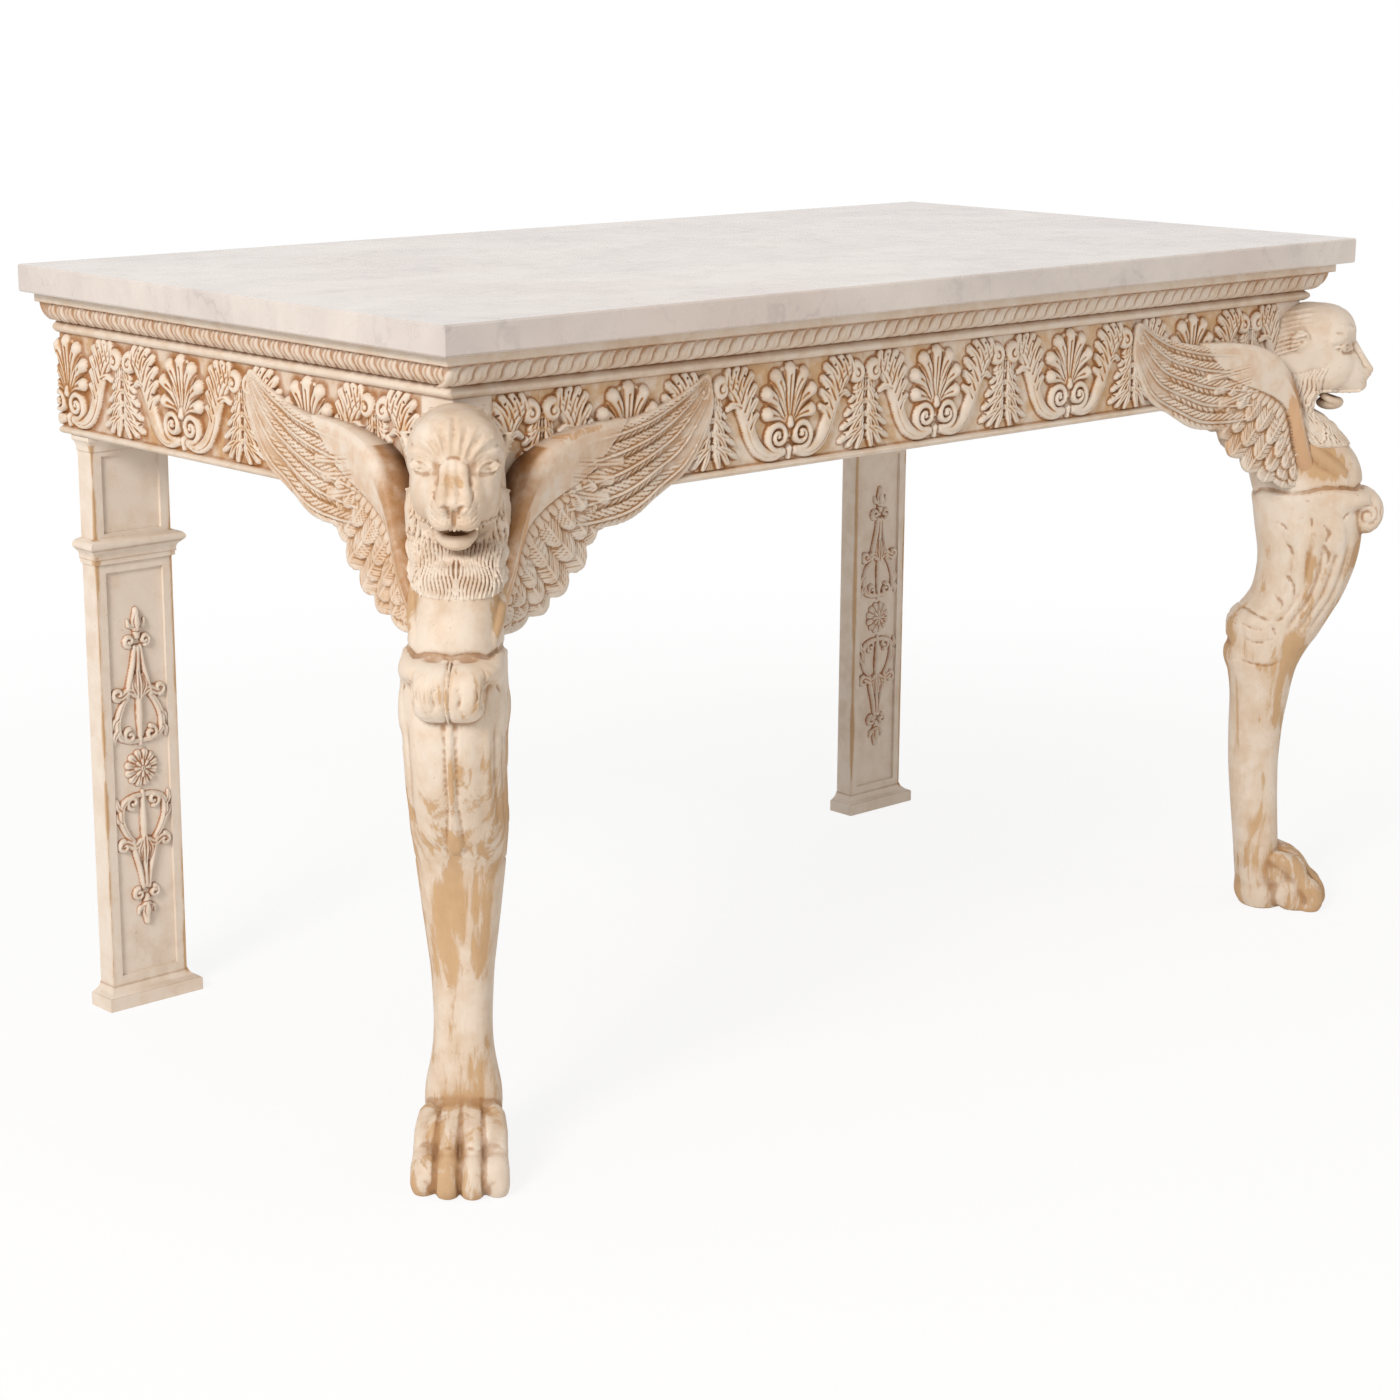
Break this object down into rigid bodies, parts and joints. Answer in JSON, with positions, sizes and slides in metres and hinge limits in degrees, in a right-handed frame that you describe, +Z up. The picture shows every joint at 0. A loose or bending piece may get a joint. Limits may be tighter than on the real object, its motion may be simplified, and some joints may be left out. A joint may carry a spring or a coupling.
{
  "type": "pier table",
  "caption": "Marble-topped pier table on winged lion monopodia in front and panelled pilasters behind, with a palmette frieze, in distressed ivory paint.",
  "frame": {"origin": "on the floor under the middle of the whole table in plan", "axes": "+X along the length, -Y is the front with the lions, +Z up"},
  "size_m": [1.628, 0.85, 0.914],
  "materials": {
    "marble": "polished",
    "ivory_paint": "distressed ivory paint over carved wood",
    "secondary_wood": "plain, lightly oiled",
    "zinc_steel": "zinc plated"
  },
  "bodies": {
    "root": {"front_bottom_bead": "ivory_paint", "front_cornice": "ivory_paint", "front_leaf_drops": "ivory_paint", "front_lyre_arms": "ivory_paint", "front_palmettes": "ivory_paint", "front_rail": "ivory_paint", "left_bearer": "secondary_wood", "left_bottom_bead": "ivory_paint", "left_cap_moulding": "ivory_paint", "left_cornice": "ivory_paint", "left_front_block": "secondary_wood", "left_front_wing": "ivory_paint", "left_knee_scroll": "ivory_paint", "left_leaf_drops": "ivory_paint", "left_lion_head": "ivory_paint", "left_lion_leg": "ivory_paint", "left_lower_candelabrum": "ivory_paint", "left_lyre_arms": "ivory_paint", "left_neck_moulding": "ivory_paint", "left_palmettes": "ivory_paint", "left_plinth": "ivory_paint", "left_post": "ivory_paint", "left_rail": "ivory_paint", "left_rear_block": "secondary_wood", "left_rosette": "ivory_paint", "left_side_wing": "ivory_paint", "left_upper_candelabrum": "ivory_paint", "leg_bolts": "zinc_steel", "leg_nuts": "zinc_steel", "leg_washers": "zinc_steel", "marble_top": "marble", "post_screws": "zinc_steel", "rear_rail": "secondary_wood", "right_bearer": "secondary_wood", "right_bottom_bead": "ivory_paint", "right_cap_moulding": "ivory_paint", "right_cornice": "ivory_paint", "right_front_block": "secondary_wood", "right_front_wing": "ivory_paint", "right_knee_scroll": "ivory_paint", "right_leaf_drops": "ivory_paint", "right_lion_head": "ivory_paint", "right_lion_leg": "ivory_paint", "right_lower_candelabrum": "ivory_paint", "right_lyre_arms": "ivory_paint", "right_neck_moulding": "ivory_paint", "right_palmettes": "ivory_paint", "right_plinth": "ivory_paint", "right_post": "ivory_paint", "right_rail": "ivory_paint", "right_rear_block": "secondary_wood", "right_rosette": "ivory_paint", "right_side_wing": "ivory_paint", "right_upper_candelabrum": "ivory_paint"}
  },
  "joints": []
}
